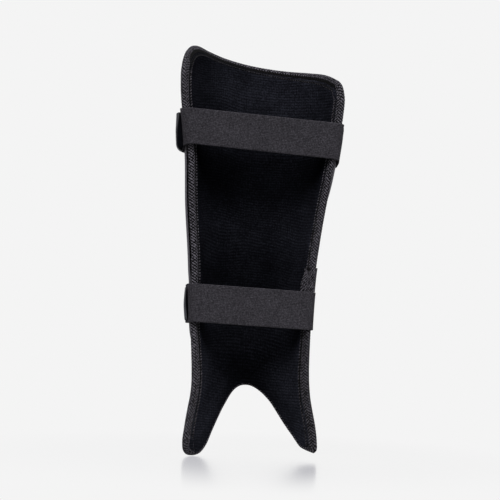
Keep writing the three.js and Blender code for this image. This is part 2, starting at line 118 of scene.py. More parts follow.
# ---- Straps ----
STRAP_WIDTH = 30
STRAP_THICKNESS = 1.2
CORNER_ROUND = 3.3
TAB_LENGTH = 30
ANCHOR_LENGTH = 40
BEAD_HEIGHT, BEAD_WIDTH = 0.12, 0.7  # of the thicker woven edge
WALL_STATIONS, TURN_STATIONS = 36, 16
TURN_FROM, TURN_TO = 30, 78  # degrees of a strap's turn at which `turn_points` finds where it meets the wall and the back
PATCH_THICKNESS = 0.6
PATCH_ROUND = 3
HOOK_START, HOOK_END, HOOK_WIDTH = 12, TAB_LENGTH - 1, 0.88 * STRAP_WIDTH
LOOP_START, LOOP_END, LOOP_WIDTH = 10, 46, 0.9 * STRAP_WIDTH
PLATE_START, PLATE_END, PLATE_WIDTH = 22, ANCHOR_LENGTH - 1, 0.8 * STRAP_WIDTH
PLATE_THICKNESS = 1
GRIP_START = 1
GRIP_END = 42
GRIP_EDGE = 1.2
GRIP_CURL = 5
RIB_REACH = (15, 17, 36, 38)  # insets where its ribs rise and fall away
RIB_HEIGHT = 0.5
RIB_PITCH = 3.2
DROP_REACH = 7  # the slant that lowers a strap's end is over this soon after the turn
STRAPS = {  # centre heights on the two walls, and the rubber grip's size and arched back
    "upper": {
        "left": 262.4, "right": 255.1, "drop": 4.6, "width": 29.4, "grip_shift": 1.6, "grip_width": 31,
        "crown": [(-1, 0.4), (-0.85, 2.1), (-0.6, 3.1), (0.08, 2.3), (0.45, 1.2), (0.8, 0.1), (1, -0.4)],
    },
    "lower": {
        "left": 120.8, "right": 117.4, "drop": 0.6, "width": 30.8, "grip_shift": -0.2, "grip_width": 26,
        "crown": [(-1, -0.9), (-0.6, -0.4), (0, 0), (0.6, -0.4), (1, -0.9)],
    },
}

FLAT_WIDTH = 78  # millimetres of pad for one unit across, for laying pieces out flat


# ---- Curves and the pad's surface ----
def joined(*parts):
    """Coordinates put together along a last axis."""
    return np.stack(parts, axis=-1)


def through(points):
    """A smooth curve through given points [place, value], read at any places."""
    places, values = np.array(points, float).T
    order = np.arange(len(places))
    after, before = np.minimum(order + 1, order[-1]), np.maximum(order - 1, 0)
    slope = (values[after] - values[before]) / (places[after] - places[before])

    def read(place):
        i = np.clip(np.searchsorted(places, place) - 1, 0, len(places) - 2)
        span = places[i + 1] - places[i]
        t = np.clip((place - places[i]) / span, 0, 1)
        rise = values[i + 1] - values[i]
        bend = slope[i] * span * (1 - t) - slope[i + 1] * span * t - rise * (1 - 2 * t)
        return values[i] + rise * t + t * (1 - t) * bend

    return read


left_edge, right_edge, depth = through(LEFT_EDGE), through(RIGHT_EDGE), through(DEPTH)
left_wrap, right_wrap = through(LEFT_WRAP), through(RIGHT_WRAP)
top_line, bottom_line = through(TOP_LINE), through(BOTTOM_LINE)
shell_top, shell_bottom = through(SHELL_TOP), through(SHELL_BOTTOM)
shell_sides = {LEFT: through(SHELL_LEFT), RIGHT: through(SHELL_RIGHT)}


def smoothstep(low, high, value):
    t = np.clip((value - low) / (np.asarray(high) - low), 0, 1)
    return t * t * (3 - 2 * t)


def plateau(value, start, full, ending, end):
    """Rises smoothly from 0 to 1, stays there, and falls to 0 again."""
    return smoothstep(start, full, value) * (1 - smoothstep(ending, end, value))


def mix(a, b, t):
    return a + (b - a) * t


def unit(vectors):
    return vectors / np.linalg.norm(vectors, axis=-1, keepdims=True)


def middle(across, height):
    """Points of the surface through the middle of the pad."""
    across, height = np.broadcast_arrays(np.asarray(across, float), np.asarray(height, float))
    half_angle = np.radians(np.where(across < 0, left_wrap(height), right_wrap(height)))
    angle = across * half_angle
    centre = (left_edge(height) + right_edge(height)) / 2
    half_width = (right_edge(height) - left_edge(height)) / 2
    bowl = (np.cos(angle) - np.cos(half_angle)) / (1 - np.cos(half_angle))
    turn = np.clip(1 - (height - bottom_line(across)) / FLARE_HEIGHT, 0, FLARE_LIMIT)
    flare = FLARE_REACH * turn ** FLARE_CURVE * np.maximum(np.cos(across * FLARE_SPREAD), 0) ** 2
    x = centre + half_width * np.sin(angle) / np.sin(half_angle)
    return joined(x, depth(height) * bowl + flare, height)


def slopes(across, height):
    """How fast the surface moves across and up."""
    step, rise = 0.004, 0.3
    along_across = (middle(across + step, height) - middle(across - step, height)) / (2 * step)
    along_height = (middle(across, height + rise) - middle(across, height - rise)) / (2 * rise)
    return along_across, along_height


def outward(across, height):
    along_across, along_height = slopes(across, height)
    return unit(np.cross(along_height, along_across))


def offset(across, height, distance):
    across, height = np.asarray(across, float), np.asarray(height, float)
    return middle(across, height) + outward(across, height) * np.asarray(distance, float)[..., None]


def kept_share(inset, arch):
    """Share of the pad's thickness left some way in from its edge; the arch isn't squeezed."""
    return mix(mix(PINCH, 1, smoothstep(0, PINCH_REACH, inset)), 1, arch)


def pinched(distance, kept):
    """Distances from the pad's middle, squeezed towards the front where its edge is sewn down."""
    return np.where(distance < PAD_HALF, PAD_HALF - (PAD_HALF - distance) * kept, distance)


def arch_share(across):
    """1 along the arch between the prongs, 0 outside it."""
    start = np.where(across > 0, ARCH_END[RIGHT], ARCH_END[LEFT])
    return 1 - smoothstep(start, start + ARCH_FADE, np.abs(across))


def pace(side, height):
    """Millimetres of side wall for one unit across, at the bound edge."""
    return np.linalg.norm(slopes(side, height)[0], axis=-1)


# ---- Where the drawing lies in the row frame ----
def pad_grid(columns, rows, distance):
    """Points of one face of the pad, as [column, row]."""
    across = np.linspace(-1, 1, columns)[:, None]
    height = mix(bottom_line(across), top_line(across), np.linspace(0, 1, rows)[None, :])
    face = offset(across, height, np.full(height.shape, distance))
    return np.broadcast_to(across, height.shape), height, face


def drawing_shift():
    """The move in millimetres from the drawn liner's middle to the CAD liner's."""
    faces = [pad_grid(201, 81, distance)[2] for distance in (-PAD_HALF, LINER_THICKNESS - PAD_HALF)]
    drawn = np.concatenate(faces).reshape(-1, 3)
    low, high = (np.array(corner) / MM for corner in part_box("liner"))
    return (low + high) / 2 - (drawn.min(axis=0) + drawn.max(axis=0)) / 2


SHIFT = drawing_shift()


def placed(points):
    return (np.asarray(points, float) + SHIFT) * MM


# ---- Meshes ----
def in_scene(name, data):
    thing = bpy.data.objects.new(name, data)
    bpy.context.scene.collection.objects.link(thing)
    return thing


def build(name, points, faces, uvs=None, sharp=50):
    """A mesh object from drawn points, with a uv pair in millimetres for each corner of its faces."""
    mesh = bpy.data.meshes.new(name)
    mesh.from_pydata(placed(points).reshape(-1, 3).tolist(), [], faces)
    if uvs is not None:
        layer = mesh.uv_layers.new(name="UVMap")
        layer.data.foreach_set("uv", np.asarray(uvs, np.float32).ravel())
    bm = bmesh.new()
    bm.from_mesh(mesh)
    bmesh.ops.recalc_face_normals(bm, faces=bm.faces)
    bm.to_mesh(mesh)
    bm.free()
    mesh.shade_smooth()
    mesh.set_sharp_from_angle(angle=math.radians(sharp))
    return in_scene(name, mesh)


def mark(piece, name, values):
    """Stores a number at each point of a piece for its material to read."""
    layer = piece.data.attributes.new(name, "FLOAT", "POINT")
    layer.data.foreach_set("value", np.asarray(values, np.float32).ravel())


def running(points, axis):
    """Distance run along an axis of a grid of points, from 0."""
    steps = np.linalg.norm(np.diff(points, axis=axis), axis=-1)
    start = np.zeros_like(np.take(steps, [0], axis=axis))
    return np.cumsum(np.concatenate([start, steps], axis=axis), axis=axis)


def loft(name, rings, uv=None, looped=False, sharp=50):
    """A closed skin over rings[i, j]: sections i along a path, points j round each section."""
    count, size = rings.shape[:2]
    if uv is None:
        uv = strip_uv(rings, looped)
    i, j = np.meshgrid(np.arange(count if looped else count - 1), np.arange(size), indexing="ij")
    corners = [(i, j), (i + 1, j), (i + 1, j + 1), (i, j + 1)]
    quads = np.stack([(a % count) * size + b % size for a, b in corners], axis=-1).reshape(-1, 4)
    uvs = np.stack([uv[a, b] for a, b in corners], axis=2).reshape(-1, 2)
    faces = quads.tolist()
    if not looped:
        faces += [list(range(size)), [(count - 1) * size + k for k in range(size)]]
        uvs = np.concatenate([uvs, uv[0, :size], uv[-1, :size]])
    return build(name, rings, faces, uvs, sharp)


def strip_uv(rings, looped=False, anchor=0):
    """Millimetres along the path and round the section, with the closing row and column."""
    closed = np.concatenate([rings, rings[:, :1]], axis=1)
    if looped:
        closed = np.concatenate([closed, closed[:1]], axis=0)
    along = running(closed[:, :-1].mean(axis=1)[:, None], 0)
    around = running(closed, 1)
    around = around - around[:, anchor:anchor + 1]
    return joined(np.broadcast_to(along, around.shape), around)


def rounded_section(width, thickness, columns):
    """A strip's closed section with round edges: w to each side of 0, and d from 0 to thickness."""
    radius = thickness / 2
    flat = np.linspace(-width / 2 + radius, width / 2 - radius, columns)
    turn = np.linspace(-90, 90, 7)[1:-1] * math.pi / 180
    edge = joined(width / 2 - radius + radius * np.cos(turn), radius + radius * np.sin(turn))
    half = np.concatenate([joined(flat, np.zeros(columns)), edge])
    return np.concatenate([half, (0, thickness) - half])


def ripple(points, size, seed):
    """Soft unevenness from -1 to 1, with bumps about as long as size."""
    generator = np.random.default_rng(seed)
    total = np.zeros(points.shape[:-1])
    for _ in range(6):
        direction = unit(generator.normal(size=3))
        length = size * generator.uniform(0.7, 1.5)
        total += np.sin(points @ direction * 2 * math.pi / length + generator.uniform(0, 2 * math.pi))
    return total / 6


# ---- Materials ----
PLAIN = (1, 1, 1)
COOL = (0.91, 0.96, 1.32)
PLUM = (1.02, 0.96, 1.13)


class Paint:
    """One material's nodes, with short forms for those the finishes use."""

    def __init__(self, name, roughness, specular=0.5, metallic=0.0, sheen=0.0):
        self.material = bpy.data.materials.new(name)
        self.material.use_nodes = True
        self.tree = self.material.node_tree
        self.shader = self.tree.nodes["Principled BSDF"]
        fixed = {"Roughness": roughness, "Specular IOR Level": specular, "Metallic": metallic,
                 "Sheen Weight": sheen, "Sheen Roughness": 0.5}
        for socket, value in fixed.items():
            self.shader.inputs[socket].default_value = value

    def node(self, kind, inputs=(), **settings):
        node = self.tree.nodes.new("ShaderNode" + kind)
        for name, value in settings.items():
            setattr(node, name, value)
        for key, value in dict(inputs).items():
            self.feed(node.inputs[key], value)
        return node

    def feed(self, socket, value):
        if isinstance(value, bpy.types.NodeSocket):
            self.tree.links.new(value, socket)
        else:
            socket.default_value = value

    def math(self, operation, a, b=0.0, c=0.0):
        return self.node("Math", {0: a, 1: b, 2: c}, operation=operation).outputs[0]

    def times(self, a, b):
        return self.math("MULTIPLY", a, b)

    def plus(self, a, b):
        return self.math("ADD", a, b)

    def times_plus(self, a, b, c):
        return self.math("MULTIPLY_ADD", a, b, c)

    def uv(self):
        """Millimetres along and across the piece."""
        return self.node("SeparateXYZ", {0: self.node("UVMap").outputs[0]}).outputs[:2]

    def place(self):
        """The point on the piece, in metres."""
        return self.node("TexCoord").outputs["Object"]

    def xyz(self):
        return self.node("SeparateXYZ", {0: self.place()}).outputs

    def mark(self, name):
        """The number stored on the piece by `mark`, or 0."""
        return self.node("Attribute", attribute_name=name).outputs["Fac"]

    def waves(self, distance, pitch):
        """Rows of rounded threads a pitch apart, from 0 to 1."""
        turns = self.times(distance, 2 * math.pi / pitch)
        return self.times_plus(self.math("COSINE", turns), 0.5, 0.5)

    def noise(self, size, detail, stretch=(1, 1, 1)):
        """Noise from 0 to 1 with grains about size millimetres across."""
        scales = tuple(1 / (size * MM) * share for share in stretch)
        where = self.node("Mapping", {"Vector": self.place(), "Scale": scales}).outputs[0]
        return self.node("TexNoise", {"Vector": where, "Scale": 1.0, "Detail": detail}).outputs[0]

    def ramp(self, factor, stops, tint=PLAIN, interpolation="LINEAR"):
        """A colour ramp through stops of (place, level) in one tint."""
        ramp = self.node("ValToRGB", {0: factor})
        elements = ramp.color_ramp.elements
        while len(elements) < len(stops):
            elements.new(0.5)
        for element, (place, level) in zip(elements, stops):
            element.position = place
            element.color = (*np.multiply(level, tint), 1)
        ramp.color_ramp.interpolation = interpolation
        return ramp.outputs[0]

    def shades(self, factor, *stops, tint=PLAIN, share=1.0):
        """A colour ramp times a share, joined to the base colour."""
        colour = self.ramp(factor, stops, tint)
        scaled = self.node("VectorMath", {0: colour, "Scale": share}, operation="SCALE").outputs[0]
        self.tree.links.new(scaled, self.shader.inputs["Base Color"])

    def fade(self, value, low, high, at_low=0.0, at_high=1.0):
        """Goes smoothly from one number to another between two values."""
        inputs = {0: value, 1: low, 2: high, 3: at_low, 4: at_high}
        return self.node("MapRange", inputs, interpolation_type="SMOOTHSTEP").outputs[0]

    def profile(self, value, reach, places, numbers, most=3):
        """Numbers from 0 to most, read off a smooth curve at places from 0 to reach."""
        stops = [(place / reach, number / most) for place, number in zip(places, numbers)]
        return self.times(self.ramp(self.math("DIVIDE", value, reach), stops, interpolation="EASE"), most)

    def bump(self, height, depth):
        """Relief of the given depth in millimetres."""
        node = self.node("Bump", {"Height": height, "Distance": depth * MM, "Strength": 1.0})
        self.tree.links.new(node.outputs[0], self.shader.inputs["Normal"])
        return self.material


# Painted light and shade on the brushed knit, as a share of its full tone, at heights in metres: painted
# shadow below the upper strap and above the lower one, and the side walls set apart
PAINTED_LIGHT_HEIGHTS = (0.02, 0.075, 0.125, 0.147, 0.19, 0.24, 0.262, 0.3)
MIDDLE_PAINTED_LIGHT = (1.2, 0.88, 0.62, 0.42, 0.98, 0.3, 0.92, 0.98)
SIDE_PAINTED_LIGHT = {
    LEFT: (1.8, 1.6, 0.75, 0.45, 0.86, 0.3, 0.78, 0.82),
    RIGHT: (1.8, 2.2, 1.2, 0.8, 1.42, 0.6, 1.15, 1.3),
}
PAINTED_LIGHT_REACH = 0.34
KNIT_PITCH = 2.3
KNIT_SLANT = 0.06


# Painted light and shade on the knit: its tone scaled by height, and apart on each side wall.
def liner_painted_light(paint):
    across, _, up = paint.xyz()
    painted_shading = paint.profile(up, PAINTED_LIGHT_REACH, PAINTED_LIGHT_HEIGHTS, MIDDLE_PAINTED_LIGHT)
    for side, wear in SIDE_PAINTED_LIGHT.items():
        beside = paint.fade(across, side * 0.01, side * 0.045)
        more = paint.math("SUBTRACT", paint.profile(up, PAINTED_LIGHT_REACH, PAINTED_LIGHT_HEIGHTS, wear), painted_shading)
        painted_shading = paint.times_plus(more, beside, painted_shading)
    return painted_shading


def liner_finish():
    """Near-black brushed knit: fine slanting ribs under fluff, paler in random patches, with painted light
    and shade by height and on each side wall.
    """
    paint = Paint("liner_knit", roughness=0.95, specular=0.0)
    u, v = paint.uv()
    drift = paint.times_plus(u, KNIT_SLANT, paint.times(paint.noise(70, 1), 22.0))
    ribs = paint.waves(paint.plus(v, drift), KNIT_PITCH)
    wales = paint.waves(paint.plus(u, paint.times(drift, 0.2)), KNIT_PITCH)
    streaks = paint.times(paint.noise(2.2, 2, (0.4, 0.7, 1)), 0.22)
    fluff = paint.times_plus(paint.noise(1.15, 2), 0.96, streaks)
    weave = paint.plus(paint.times(ribs, 0.17), paint.times(wales, 0.06))
    relief = paint.plus(fluff, weave)
    patches = paint.times(paint.noise(26, 3), 0.38)
    tone = paint.plus(paint.times(relief, 0.75), patches)
    paint.shades(tone, (0.42, 0.0012), (0.72, 0.0068), (1.0, 0.021), tint=COOL, share=liner_painted_light(paint))
    return paint.bump(relief, 0.3)


TWILL_PITCH = 2.35
TWILL_LEAN = 0.65
TWILL_COLUMN = 7
TWILL_START = 3.5


def binding_finish():
    """Herringbone tape: pale worn threads on a dark ground, leaning to each side in turn."""
    paint = Paint("herringbone_tape", roughness=0.85, specular=0.1)
    u, v = paint.uv()
    lean = paint.math("PINGPONG", paint.plus(v, TWILL_START), TWILL_COLUMN)
    threads = paint.waves(paint.times_plus(lean, TWILL_LEAN, u), TWILL_PITCH)
    beads = paint.waves(paint.times_plus(lean, -TWILL_LEAN, u), TWILL_PITCH)
    fluff = paint.noise(1.7, 2)
    weave = paint.times(threads, paint.times_plus(beads, 0.5, 0.5))
    tone = paint.times_plus(fluff, 1.15, paint.times(weave, 0.6))
    across, _, up = paint.xyz()
    # Darker low on the right, and painted shade where the tape is marked shaded.
    low_right = paint.times(paint.fade(across, 0.0, 0.03), paint.fade(up, 0.13, 0.09))
    unshaded_share = paint.math("SUBTRACT", paint.times_plus(low_right, -0.25, 1.0), paint.mark("shaded"))
    painted_shading = paint.math("MAXIMUM", unshaded_share, 0.03)
    paint.shades(tone, (0.55, 0.001), (0.78, 0.009), (1.0, 0.105), tint=PLUM, share=painted_shading)
    return paint.bump(tone, 0.4)


def webbing_finish():
    """Dense soft elastic: very fine ribs along the strap and a brushed, even surface."""
    paint = Paint("woven_elastic", roughness=0.9, specular=0.1)
    u, v = paint.uv()
    ribs = paint.waves(v, 1.3)
    picks = paint.waves(u, 1.1)
    weave = paint.times(paint.plus(ribs, picks), 0.12)
    relief = paint.times_plus(paint.noise(1.0, 2), 0.8, weave)
    wide = paint.times(paint.noise(14, 2), 0.08)
    tone = paint.plus(paint.times(relief, 0.84), wide)
    paint.shades(tone, (0.27, 0.008), (0.52, 0.034), (0.77, 0.08), tint=PLUM)
    return paint.bump(relief, 0.16)


def shell_finish():
    """Semi-gloss moulded black with a fine grain, a few dulled patches and a painted highlight on its cut
    edges.
    """
    paint = Paint("moulded_shell", roughness=0.42, specular=0.5)
    grain = paint.noise(0.7, 2)
    wear = paint.noise(35, 4)
    paint.feed(paint.shader.inputs["Roughness"], paint.times_plus(wear, 0.22, 0.3))
    # Painted highlight where the cut edges are marked.
    tone = paint.times_plus(paint.mark("painted_edge_highlight"), 1.0, paint.times(wear, 0.5))
    paint.shades(tone, (0.15, 0.009), (0.4, 0.014), (0.9, np.multiply(0.085, PLUM)))
    return paint.bump(grain, 0.05)


def cover_finish():
    """The pad's front cloth: a tight plain knit."""
    paint = Paint("cover_knit", roughness=0.9, specular=0.15, sheen=0.04)
    u, v = paint.uv()
    knit = paint.times(paint.waves(u, 1.1), paint.waves(v, 0.9))
    relief = paint.times_plus(paint.noise(0.8, 2), 0.5, paint.times(knit, 0.5))
    paint.shades(relief, (0.2, 0.008), (0.8, 0.022), tint=PLUM)
    return paint.bump(relief, 0.2)


def foam_finish():
    """Closed-cell foam."""
    paint = Paint("closed_cell_foam", roughness=0.95, specular=0.2)
    cells = paint.noise(1.2, 3)
    paint.shades(cells, (0.3, 0.015), (0.7, 0.028))
    return paint.bump(cells, 0.2)


def thread_finish():
    """Twisted sewing thread, nearly black."""
    paint = Paint("sewing_thread", roughness=0.7, specular=0.2)
    twist = paint.noise(0.3, 2)
    paint.shades(twist, (0.3, 0.004), (0.8, 0.012))
    return paint.bump(twist, 0.05)


def pile_finish(name, size, low, high):
    """Hook or loop pile of the given grain size."""
    paint = Paint(name, roughness=0.85, specular=0.25)
    u, v = paint.uv()
    rows = paint.times(paint.waves(u, size * 1.6), paint.waves(v, size * 1.4))
    relief = paint.times_plus(paint.noise(size, 3), 0.6, paint.times(rows, 0.4))
    paint.shades(relief, (0.25, low), (0.8, high))
    return paint.bump(relief, 0.5)


def rubber_finish():
    """Satin moulded rubber with a little dust in its grain."""
    paint = Paint("satin_rubber", roughness=0.5, specular=0.12)
    grain = paint.noise(0.5, 3)
    dust = paint.noise(11, 3)
    # Painted shade where marked: darker colour and no reflection.
    unshaded_share = paint.math("SUBTRACT", 1.0, paint.mark("shaded"))
    paint.feed(paint.shader.inputs["Specular IOR Level"], paint.times(unshaded_share, 0.15))
    shown = paint.math("MAXIMUM", unshaded_share, 0.16)
    paint.shades(dust, (0.35, 0.012), (0.8, 0.03), tint=COOL, share=shown)
    return paint.bump(grain, 0.06)


def rivet_finish():
    """Black-coated steel, polished a little where it rubs."""
    paint = Paint("coated_steel", roughness=0.35, specular=0.5, metallic=0.7)
    wear = paint.noise(3, 4)
    paint.feed(paint.shader.inputs["Roughness"], paint.times_plus(wear, 0.2, 0.25))
    paint.shades(wear, (0.3, 0.02), (0.8, 0.05))
    return paint.bump(paint.noise(0.4, 2), 0.02)


FINISHES = {
    "liner": liner_finish(),
    "binding": binding_finish(),
    "webbing": webbing_finish(),
    "shell": shell_finish(),
    "cover": cover_finish(),
    "foam": foam_finish(),
    "thread": thread_finish(),
    "hook": pile_finish("hook_pile", 0.9, 0.006, 0.02),
    "loop": pile_finish("loop_pile", 0.6, 0.008, 0.024),
    "soft_rubber": rubber_finish(),
    "rivet": rivet_finish(),
}


def finish(piece, look):
    """Gives a piece its material."""
    piece.data.materials.clear()
    piece.data.materials.append(FINISHES[look])
    return piece


# ---- Pad layers ----
PAD_COLUMNS, PAD_ROWS = 150, 230


def line_lean(line, across):
    """The slope of the top or bottom outline."""
    ahead, behind = np.minimum(across + 0.01, 1), np.maximum(across - 0.01, -1)
    return (line(ahead) - line(behind)) / ((ahead - behind) * FLAT_WIDTH)


def pad_kept(across, height):
    """How much of the pad's thickness is left at points of its surface."""
    side = (1 - np.abs(across)) * pace(0.0, height)
    top = (top_line(across) - height) / np.sqrt(1 + line_lean(top_line, across) ** 2)
    bottom = (height - bottom_line(across)) / np.sqrt(1 + line_lean(bottom_line, across) ** 2)
    return np.minimum(kept_share(np.minimum(side, top), 0), kept_share(bottom, arch_share(across)))


def pad_sheet(name, inner, outer, columns, rows, puff=None):
    """One layer of the pad, between two distances from its middle surface; puff lifts it off."""
    across, height, _ = pad_grid(columns, rows, 0.0)
    kept = pad_kept(across, height)
    lift = 0 if puff is None else puff(across, height)
    near, far = (offset(across, height, pinched(face, kept) + lift) for face in (inner, outer))
    rings = np.concatenate([near, far[:, ::-1]], axis=1)
    flat = joined(across * pace(0.0, height), height)
    uv = np.concatenate([flat, flat[:, ::-1], flat[:, :1]], axis=1)
    return loft(name, rings, uv)


# Creases where the knit gathers above the ankle: how far across, from and to what height, and how deep
CREASES = [(-0.07, 62, 132, 0.5), (-0.01, 58, 105, 0.35), (0.05, 75, 128, 0.3), (-0.16, 95, 140, 0.25)]
CREASE_WIDTH = 0.011
CREASE_SLANT = 0.0003


def liner_puff(across, height):
    """The liner's soft unevenness and its creases; towards the leg is negative."""
    points = joined(across * 75, np.zeros_like(height), height)
    puff = -0.35 * (1 + ripple(points, 38, 3)) - 0.12 * ripple(points, 11, 8)
    for place, low, high, crease_depth in CREASES:
        along = plateau(height, low, low + 14, high - 18, high)
        beside = across - place - CREASE_SLANT * (height - low)
        puff = puff + crease_depth * along * np.exp(-(beside / CREASE_WIDTH) ** 2)
    return puff * smoothstep(0, 0.1, 1 - np.abs(across))


def flat_area():
    """The pad's width, length and area laid flat, in metres."""
    points = pad_grid(120, 160, 0.0)[2] * MM
    sides = np.diff(points, axis=0)[:, :-1], np.diff(points, axis=1)[:-1]
    area = np.linalg.norm(np.cross(*sides), axis=-1).sum()
    width = running(points, 0)[-1].max()
    length = running(points, 1)[:, -1].max()
    return width, length, area


def pad():
    liner_face = -PAD_HALF
    foam_face = liner_face + LINER_THICKNESS + GAP
    cover_face = foam_face + FOAM_THICKNESS + GAP
    width, length, area = flat_area()
    layers = [
        ("knit_liner", "liner", liner_face, LINER_THICKNESS, liner_puff, "liner"),
        ("foam_pad", "foam_core", foam_face, FOAM_THICKNESS, None, "foam"),
        ("knit_cover", "front_cover", cover_face, COVER_THICKNESS, None, "cover"),
    ]
    for name, node, face, thickness, puff, look in layers:
        columns, rows = (PAD_COLUMNS, PAD_ROWS) if puff else (PAD_COLUMNS // 2, PAD_ROWS // 2)
        piece = finish(pad_sheet(name, face, face + thickness, columns, rows, puff), look)
        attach(piece, "guard")
        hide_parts(node)


# ---- Edge binding ----
TAPE_STEP = 0.42
TAPE_POINTS = 21  # in each half of its section
LEG_PROFILE = [(-6.3, -0.35), (-6.5, 0.4), (-6.1, 0.9), (-5.4, 0.8), (-4.9, -0.2), (-4.3, -0.35),
               (-3.6, 0.6), (-2.1, 1.3), (-0.6, 1.2), (0.8, 0.4), (1.8, -1.4),
               (2.2, -PAD_HALF)]  # past the edge, above the pad
FRONT_HEIGHT = 1.6
ARCH_LAP = 0.2  # share of the lap that shows on the arch, where the edge turns away
ARCH_ROLL = 0.65
WALL_LAP = 0.76  # the same shares where the tape is pulled tight along the side walls
WALL_ROLL = 0.45
TIGHT_HEIGHTS = (60, 105, 238, 270)
SHADED_GROOVE = (-5.1, -4.3)  # painted shade in the sewn groove, past the edge: down the sides, then along the top
TOP_SHADED_GROOVE = (-5.6, -1.3)
TWILL_RELIEF = 0.09
TAPE_WANDER = 0.1
STITCH_STEP = 0.5
STITCH_PITCH = 3.0
STITCH_LENGTH = 2.1
STITCH_RADIUS = 0.26
STITCH_PAST = -4.6
STITCH_LIFT = 0.3


def four_sides(low, high, columns, rows):
    """Points [across, height] along the lower line, up the right, back along the upper line and down."""
    run, rise = np.linspace(-1, 1, columns), np.linspace(0, 1, rows)
    sides = []
    for across, share in ((run, 0.0), (1.0, rise[1:-1]), (run[::-1], 1.0), (-1.0, rise[-2:0:-1])):
        across, share = np.broadcast_arrays(across, share)
        sides.append(joined(across, mix(low(across), high(across), share)))
    return sides


def even_loop(points, values, step):
    """Values at the points of a closed outline, read again at even steps round it."""
    closed, values = (np.concatenate([array, array[:1]]) for array in (points, values))
    travelled = running(closed[:, None], 0)[:, 0]
    count = int(round(travelled[-1] / step))
    places = np.arange(count) * travelled[-1] / count
    return joined(*(np.interp(places, travelled, column) for column in values.T))


def round_off(values, width):
    """Smooths values round a closed path, with a bell curve that is width steps wide."""
    reach = int(3 * width) + 1
    bell = np.exp(-0.5 * (np.arange(-reach, reach + 1) / width) ** 2)
    bell /= bell.sum()
    padded = np.concatenate([values[-reach:], values, values[:reach]])
    return joined(*(np.convolve(column, bell, mode="valid") for column in padded.T))


def outline_nodes(step):
    """Even steps round the pad's edge: [across, height], and 0 to 1 for being on the bottom line."""
    sides = four_sides(bottom_line, top_line, 700, 500)
    nodes = np.concatenate(sides)
    on_bottom = np.repeat([1.0, 0, 0, 0], [len(side) for side in sides])
    even = even_loop(middle(*nodes.T), np.column_stack([nodes, on_bottom]), step)
    return round_off(even[:, :2], 2.0 / step), round_off(even[:, 2:], 4.0 / step)[:, 0]


def outline_frame(nodes):
    """Where the outline runs, and the direction away from the pad at each node."""
    points = middle(*nodes.T)
    along = unit(np.roll(points, -1, axis=0) - np.roll(points, 1, axis=0))
    away = unit(np.cross(outward(*nodes.T), along))
    return along, unit(round_off(away, 5))


def near_outline(nodes, away, past, distance):
    """Points some way past the outline, or inside it, at a distance from the pad's middle surface."""
    past = np.broadcast_to(past, len(nodes))
    along_across, along_height = slopes(*nodes.T)
    a = (along_across ** 2).sum(axis=-1)
    b = (along_height ** 2).sum(axis=-1)
    mixed = (along_across * along_height).sum(axis=-1)
    pull_a = (away * along_across).sum(axis=-1)
    pull_b = (away * along_height).sum(axis=-1)
    inwards = np.minimum(past, 0) / (a * b - mixed ** 2)
    across = nodes[:, 0] + inwards * (pull_a * b - pull_b * mixed)
    height = nodes[:, 1] + inwards * (pull_b * a - pull_a * mixed)
    return offset(across, height, distance) + away * np.maximum(past, 0)[:, None]


def smooth_run(points, count):
    """Evenly spaced points on a smooth curve through given points."""
    points = np.array(points, float)
    travelled = running(points[:, None], 0)[:, 0]
    places = np.linspace(0, travelled[-1], count)
    return joined(*(through(joined(travelled, column))(places) for column in points.T))


def tape_section():
    """The tape's outer skin, from the lip on the leg side round to the front lip, then its inside."""
    leg = smooth_run(LEG_PROFILE, TAPE_POINTS)
    leg[:, 1] = -(leg[:, 1] + PAD_HALF)
    front = leg[-2::-1] * (1, -1)
    front[:, 1] = np.minimum(front[:, 1], PAD_HALF + FRONT_HEIGHT)
    lip, turn, inner = -5.5, 0.3, PAD_HALF - 0.25
    hidden = [(lip, inner), (turn, inner), (turn, -inner), (lip, -inner)]
    return np.concatenate([leg, front, hidden]), 2 * TAPE_POINTS - 1


def twill(u, v):
    """Height of the tape's diagonal threads, from -1 to 1."""
    lean = np.abs(((v + TWILL_START) / TWILL_COLUMN + 1) % 2 - 1) * TWILL_COLUMN
    return np.cos(2 * math.pi * (u + TWILL_LEAN * lean) / TWILL_PITCH)


def tape_shares(nodes, bottom):
    """How much of the lap and of the roll there is at each node."""
    arch = bottom * arch_share(nodes[:, 0])
    across, height = nodes.T
    tight = smoothstep(0.95, 1, np.abs(across)) * plateau(height, *TIGHT_HEIGHTS)
    lap = mix(1, WALL_LAP, tight)
    roll = mix(1, WALL_ROLL, tight * (across < 0))
    return mix(lap, ARCH_LAP, arch), mix(roll, ARCH_ROLL, arch), arch


def tape_point(nodes, away, shares, past, distance):
    """Points of the tape for one place in its section."""
    lap, roll, arch = shares
    past = past * (lap if past < 0 else roll)
    return near_outline(nodes, away, past, pinched(distance, kept_share(np.maximum(-past, 0), arch)))


def seam_shade(nodes, section, skin):
    """Painted shade at each point of the tape: nearly black down in its sewn groove, and dimmed on the lip
    below it along the top.
    """
    across, height = nodes.T
    along_top = (1 - smoothstep(0.9, 1, np.abs(across))) * (height > 250)
    low, high = (mix(side, top, along_top) for side, top in zip(SHADED_GROOVE, TOP_SHADED_GROOVE))
    shade = np.zeros((len(nodes), len(section)))
    for k, (past, _) in enumerate(section[:skin // 2 + 1]):
        groove = plateau(past, low - 0.5, low, high, high + 0.5)
        # Painted shade on the lip below the groove along the top.
        lip = 0.55 * along_top * (1 - smoothstep(low - 0.5, low, past))
        shade[:, k] = np.maximum(0.97 * groove, lip)
    return shade


